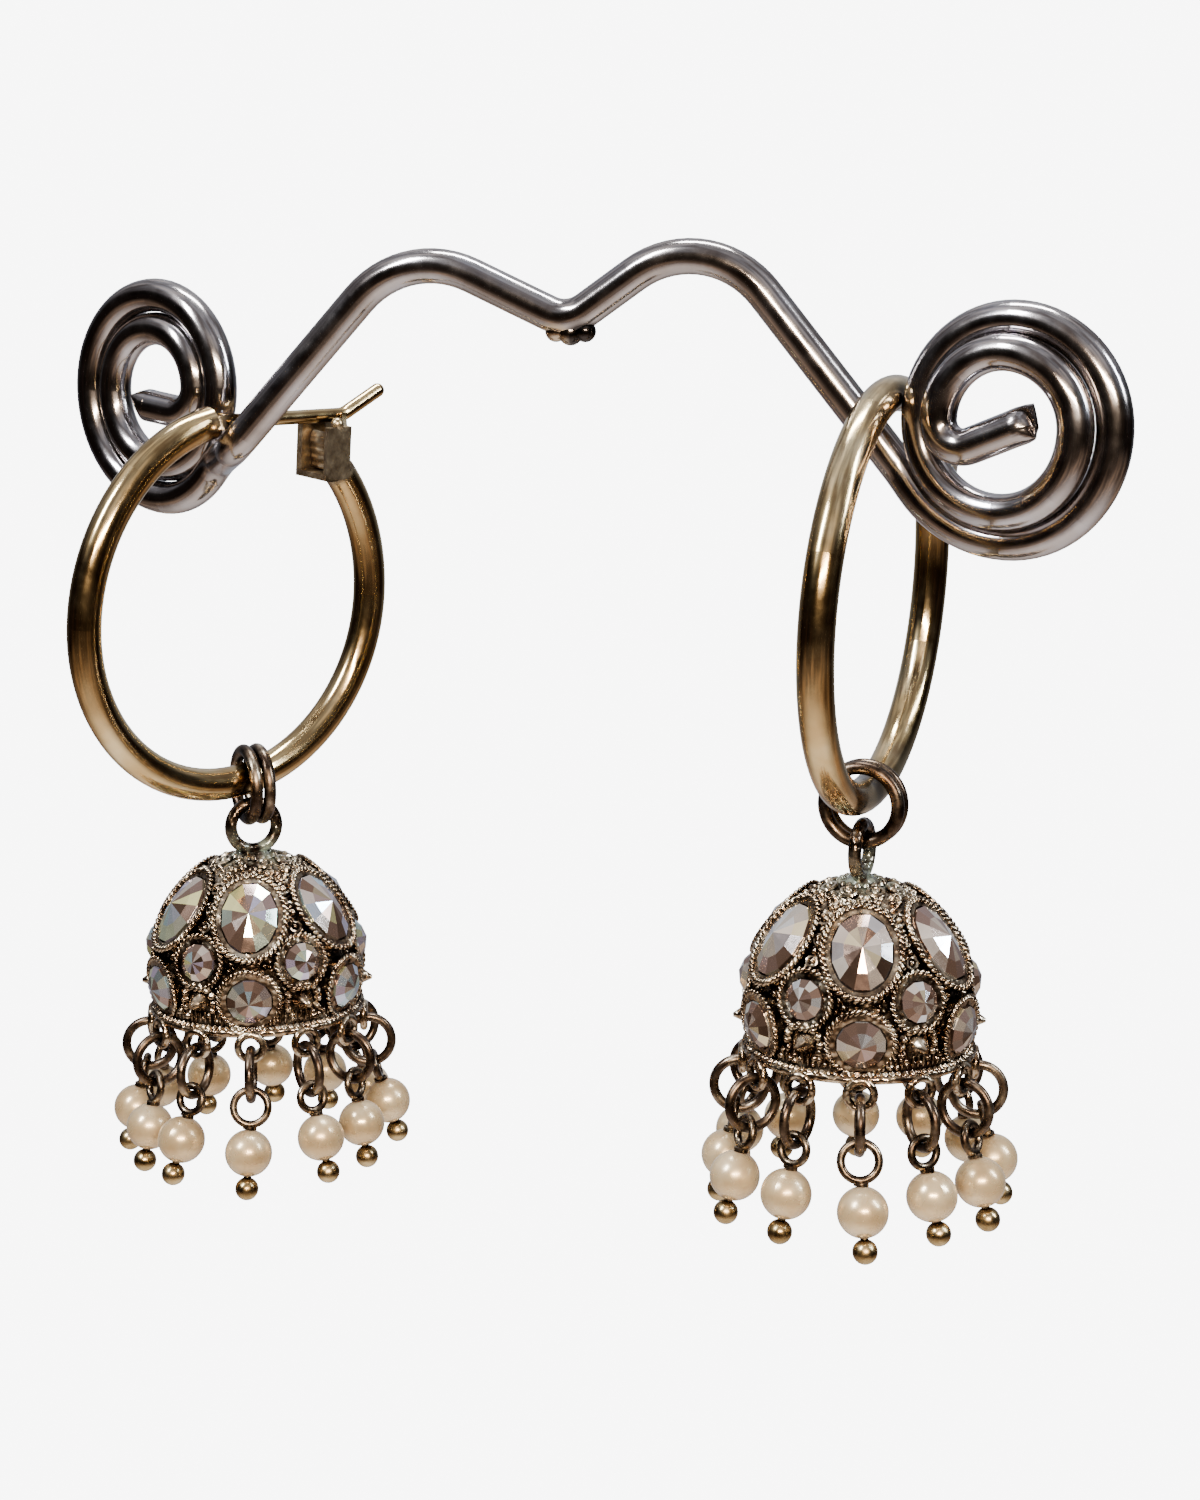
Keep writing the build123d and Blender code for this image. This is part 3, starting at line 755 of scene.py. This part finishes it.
def pearl_finish():
    """Cream pearl: warm body, cool lustre, slightly uneven skin."""
    finish, tree, shader, where = new_finish("cream_pearl")
    colour = shades(tree, clouds(tree, where, 420, 4), (
        (0.3, (0.53, 0.37, 0.185)), (0.5, (0.67, 0.51, 0.29)), (0.7, (0.8, 0.67, 0.44))))
    # painted shade: the pearl is browned where it is shut in by other parts
    colour = painted_shade_and_patina(tree, colour, (0.38, 0.25, 0.14), 1.2, 0.2, 0.9)
    surfaced(tree, shader, colour, patchy(tree, where, 700, 3, 0.2, 0.36))
    shader.inputs["Metallic"].default_value = 0.5
    shader.inputs["Subsurface Weight"].default_value = 0.05
    shader.inputs["Subsurface Radius"].default_value = (0.0005, 0.0003, 0.0002)
    shader.inputs["Subsurface Scale"].default_value = 1.0
    shader.inputs["Coat Weight"].default_value = 0.5
    shader.inputs["Coat Roughness"].default_value = 0.12
    shader.inputs["Sheen Weight"].default_value = 0.15
    raised(tree, shader, clouds(tree, where, 450, 2), 0.1, 0.25)
    return finish


def hoop_finish(side):
    catch = hoop_frame(side) @ Vector((CATCH_AT[0] * MM, CATCH_AT[1] * MM, 0))
    return gold_finish("gold_hoop_" + side, catch)


STEEL = steel_finish()
GOLD = gold_finish("polished_gold_plate")
HOOP_GOLD = {side: hoop_finish(side) for side in FRONT}
RING_BRONZE = ring_finish()
PIN_METAL = {side: pin_finish(side) for side in FRONT}
PEARL = pearl_finish()
BELL_METAL = {side: bell_finish(side) for side in FRONT}
# the stones' facet colours, champagne with painted reflections, and the colours of their painted
# glints
CHAMPAGNE_PAINTED_FACETS = (
    (0.08, 0.05, 0.035), (0.26, 0.17, 0.13), (0.42, 0.31, 0.3), (0.9, 0.82, 0.72))
WARM_PAINTED_GLINTS = ((0.9, 0.8, 0.52), (0.8, 0.88, 1.0), (0.97, 0.97, 0.95))
SHOT_PAINTED_GLINTS = ((0.92, 0.94, 0.45), (0.55, 0.86, 1.0), (0.74, 0.66, 0.95))
CRYSTAL = {
    "right": crystal_finish("champagne_crystal", CHAMPAGNE_PAINTED_FACETS, WARM_PAINTED_GLINTS, 0.53),
    "left": crystal_finish("shot_champagne_crystal", CHAMPAGNE_PAINTED_FACETS, SHOT_PAINTED_GLINTS, 0.51),
}


def dress(node, finish):
    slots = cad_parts[node].data.materials
    if len(slots) == 0:
        slots.append(finish)
    for n in range(len(slots)):
        slots[n] = finish


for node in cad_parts:
    side = "left" if node.startswith("left_") else "right"
    if node == "display_wire":
        dress(node, STEEL)
    elif "stone" in node:
        dress(node, CRYSTAL[side])
    elif "jump_ring" in node or "drop_rings" in node:
        dress(node, RING_BRONZE)
    elif "pearls" in node:
        dress(node, PEARL)
    elif "head_pins" in node:
        dress(node, PIN_METAL[side])
    elif node.endswith("_bell"):
        dress(node, BELL_METAL[side])
    elif node.endswith("_hoop"):
        dress(node, HOOP_GOLD[side])
    else:
        dress(node, GOLD)

# ---- the bells' applied work, and the wraps on their head pins ----
granule = granule_pattern()
rope_grain = rope_grain_pattern()
flute = flute_pattern()
eyelet = eyelet_pattern()
wrap = wrap_pattern()


def fit_bell(side):
    work = []
    for name, rope in ROPES.items():
        work.append(laid(rope_grain, side + "_" + name, round_the_cups(side, **rope)))
    work.append(laid(granule, side + "_boss_balls", round_the_cups(side, **BOSS_BALLS)))
    work.append(laid(granule, side + "_granules", dust_places(side)))
    work.append(laid(granule, side + "_rim_balls", rim_ball_places(side)))
    work.append(laid(flute, side + "_rim_flutes", flute_places(side)))
    work.append(laid(eyelet, side + "_scrolls", scroll_places(side)))
    work.append(laid(granule, side + "_collar_balls", collar_places(side)))
    for piece in work:
        piece.data.materials.append(BELL_METAL[side])
        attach(piece, side + "_drop")
    piece = laid(wrap, side + "_pin_wraps", wrap_places(side))
    piece.data.materials.append(PIN_METAL[side])
    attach(piece, side + "_drop")


for side in FRONT:
    fit_bell(side)

# ---- the cut ends of the display wire ----
cut = cut_pattern()
ends = []
for end, way, turn in CUTS.values():
    way = Vector(way).normalized()
    across = way.cross(Vector((0, 0, 1))).normalized()
    place = frame_at((Vector(end) + way * CUT_STANDS_OUT) * MM, across, way.cross(across), way)
    ends.append(place @ Matrix.Rotation(radians(turn), 4, "Z"))
cut_ends = laid(cut, "wire_cut_ends", ends)
cut_ends.data.materials.append(STEEL)
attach(cut_ends, "stand_and_hoops")

# ---- the spring plate inside each catch, facing back at the hinge ----
spring = spring_pattern()
facing = frame_at(Vector((0, 0, 0)), Vector((0, 0, 1)), Vector((0, 1, 0)), Vector((-1, 0, 0)))
leant = Matrix.Rotation(radians(SPRING_LEAN), 4, "X")
for side in FRONT:
    seat = Matrix.Translation((SPRING_AT[0] * MM, SPRING_AT[1] * MM, 0))
    place = hoop_frame(side) @ seat @ facing @ leant
    piece = laid(spring, side + "_catch_spring", [place])
    piece.data.materials.append(HOOP_GOLD[side])
    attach(piece, "stand_and_hoops")

for pattern in (granule, rope_grain, flute, eyelet, wrap, cut, spring):
    put_away(pattern)


# ---- floor, light and camera ----
def pale_floor():
    """A pale round floor whose edge fades into the white ground."""
    nothing_held()
    bpy.ops.mesh.primitive_circle_add(
        vertices=96, radius=FLOOR_R * MM, fill_type="NGON", location=(0, 0, -FLOOR_BELOW * MM))
    floor = bpy.context.object
    floor.name = "pale_floor"
    finish, tree, shader, where = new_finish("pale_paper")
    colour = shades(tree, clouds(tree, where, 6), (
        (0.3, (0.7, 0.65, 0.61)), (0.7, (0.74, 0.69, 0.65))))
    tree.links.new(colour, shader.inputs["Base Color"])
    shader.inputs["Roughness"].default_value = 0.9
    clear = tree.nodes.new("ShaderNodeBsdfTransparent")
    edge = tree.nodes.new("ShaderNodeMixShader")
    solid = near_to(tree, where, (0, 0, 0), FLOOR_R, 1.0, 0.0, 0.65)
    tree.links.new(solid, edge.inputs[0])
    tree.links.new(clear.outputs[0], edge.inputs[1])
    tree.links.new(shader.outputs[0], edge.inputs[2])
    tree.links.new(edge.outputs[0], tree.nodes["Material Output"].inputs["Surface"])
    floor.data.materials.append(finish)


def room_light():
    """A dim brown room under a cool pale ceiling, for the metal to mirror, on a white ground."""
    world = bpy.data.worlds.new("room")
    bpy.context.scene.world = world
    world.use_nodes = True
    tree = world.node_tree
    ground = tree.nodes["Background"]
    way = tree.nodes.new("ShaderNodeTexCoord").outputs["Generated"]
    parts = tree.nodes.new("ShaderNodeSeparateXYZ")
    tree.links.new(way, parts.inputs[0])
    rise = shades(tree, span(tree, parts.outputs["Z"], 0.0, 1.0, -1.0, 1.0), (
        (0.2, (0.3, 0.22, 0.165)), (0.37, (0.012, 0.007, 0.005)), (0.65, (0.009, 0.006, 0.005)),
        (0.74, (0.2, 0.2, 0.22)), (0.92, (0.5, 0.53, 0.6))))
    away = tree.nodes.new("ShaderNodeVectorMath")
    away.operation = "DOT_PRODUCT"
    away.inputs[1].default_value = (-0.28, 0.94, 0.1)
    tree.links.new(way, away.inputs[0])
    far = shades(tree, span(tree, away.outputs["Value"], 0.0, 1.0, -1.0, 1.0), (
        (0.66, (0, 0, 0)), (0.88, (0.13, 0.14, 0.16)), (0.97, (0.5, 0.53, 0.6))))
    patches = shades(tree, clouds(tree, way, 3.2, 2), (
        (0.4, (0.5, 0.42, 0.38)), (0.52, (1, 1, 1)), (0.64, (2.2, 1.95, 1.7))))
    room = blended(tree, 1.0, blended(tree, 1.0, rise, patches, "MULTIPLY"), far, "ADD")
    tree.links.new(room, ground.inputs["Color"])
    ground.inputs["Strength"].default_value = 1.0
    plain = tree.nodes.new("ShaderNodeBackground")
    plain.inputs["Color"].default_value = (1, 1, 1, 1)
    plain.inputs["Strength"].default_value = 8.0
    seen = tree.nodes.new("ShaderNodeLightPath")
    both = tree.nodes.new("ShaderNodeMixShader")
    tree.links.new(seen.outputs["Is Camera Ray"], both.inputs[0])
    tree.links.new(ground.outputs[0], both.inputs[1])
    tree.links.new(plain.outputs[0], both.inputs[2])
    tree.links.new(both.outputs[0], tree.nodes["World Output"].inputs["Surface"])


def soft_box(name, place, size, power, colour):
    """An oblong lamp, its sides in metres, turned to the earrings."""
    nothing_held()
    bpy.ops.object.light_add(type="AREA", location=place)
    lamp = bpy.context.object
    lamp.name = name
    lamp.data.shape = "RECTANGLE"
    lamp.data.size, lamp.data.size_y = size
    lamp.data.energy = power
    lamp.data.color = colour
    lamp.rotation_euler = (Vector(AIM) - Vector(place)).to_track_quat("-Z", "Y").to_euler()


pale_floor()
room_light()
soft_box("key", (-0.2, -0.24, 0.26), (0.06, 0.14), 2.0, (0.95, 0.97, 1.0))
soft_box("warm_front", (0.12, -0.32, 0.1), (0.2, 0.02), 2.4, (1.0, 0.79, 0.58))
soft_box("cool_side", (0.3, 0.02, 0.16), (0.04, 0.16), 1.0, (0.85, 0.92, 1.0))
soft_box("top", (-0.02, 0.08, 0.3), (0.16, 0.05), 1.3, (0.95, 0.98, 1.0))

nothing_held()
bpy.ops.object.camera_add(location=CAMERA_AT)
camera = bpy.context.object
camera.rotation_euler = Vector(CAMERA_WAY).to_track_quat("-Z", "Y").to_euler()
camera.data.sensor_width = 36
camera.data.lens = CAMERA_LENS
camera.data.clip_start = 0.005
camera.data.clip_end = 20
bpy.context.scene.camera = camera
